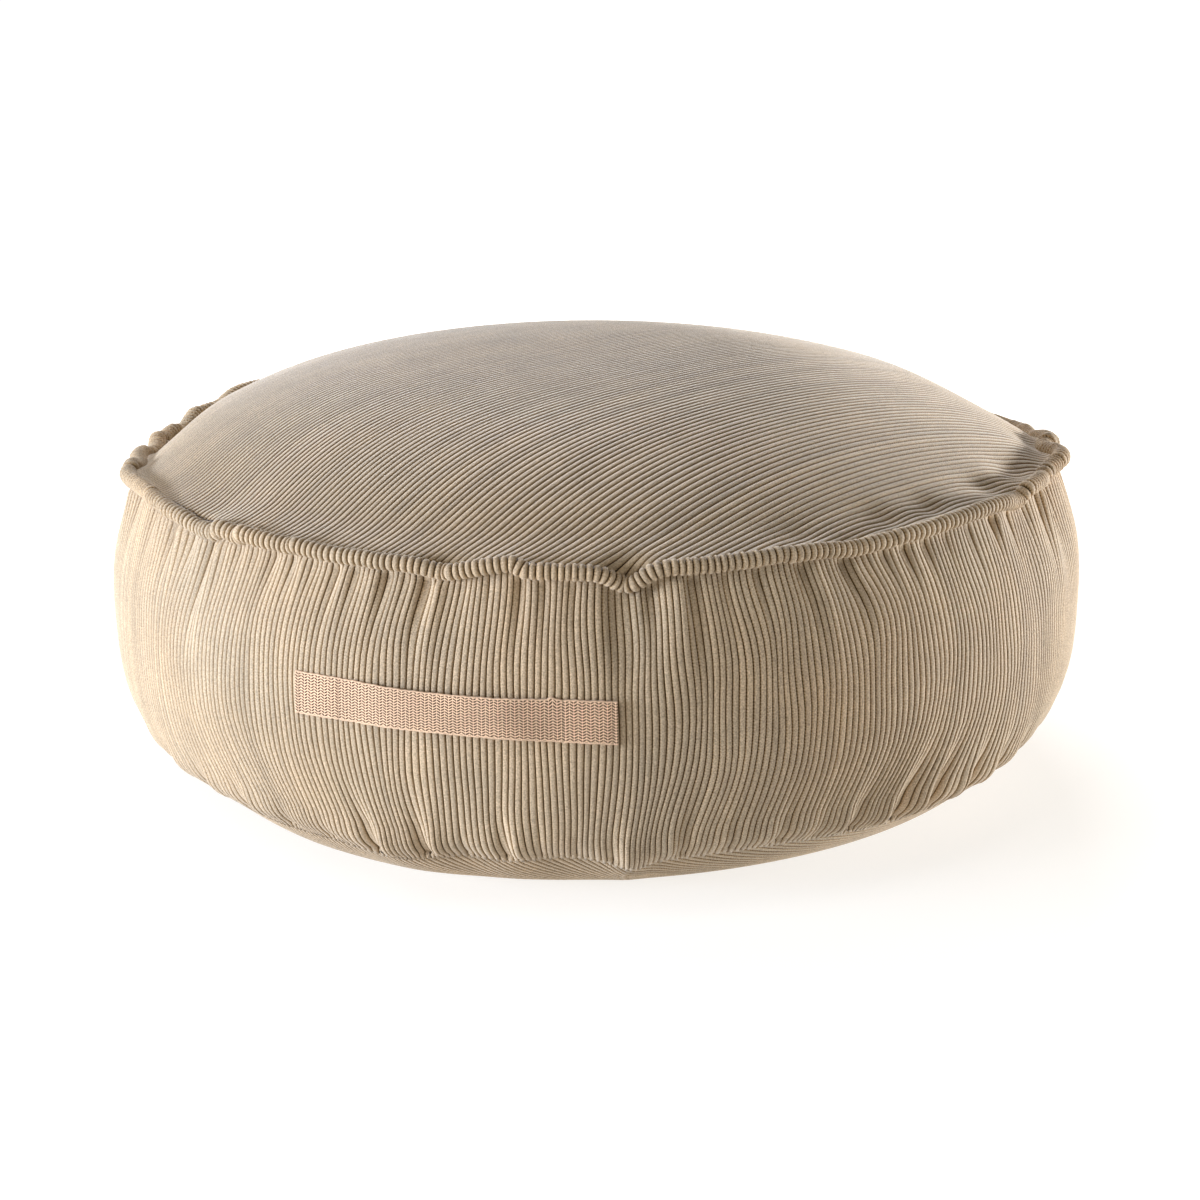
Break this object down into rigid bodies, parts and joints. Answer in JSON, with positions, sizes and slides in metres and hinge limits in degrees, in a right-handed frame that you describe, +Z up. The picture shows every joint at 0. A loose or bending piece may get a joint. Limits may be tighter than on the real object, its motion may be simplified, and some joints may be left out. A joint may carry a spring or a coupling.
{
  "type": "round pouf",
  "caption": "Low round floor pouf in wide-wale corduroy with a crowned top, gathered side, piped top seam and flat webbing handle.",
  "frame": {"origin": "on the floor, under the middle of the pouf", "axes": "+Z up, -Y towards the side that carries the handle, +X to the right seen from that side"},
  "size_m": [0.6406, 0.6426, 0.2675],
  "materials": {
    "corduroy": "wide-wale cotton corduroy, brushed pile",
    "webbing": "flat herringbone cotton webbing"
  },
  "bodies": {
    "root": {"top_panel": "corduroy", "side_band": "corduroy", "bottom_panel": "corduroy", "piping": "corduroy", "handle": "webbing"}
  },
  "joints": []
}
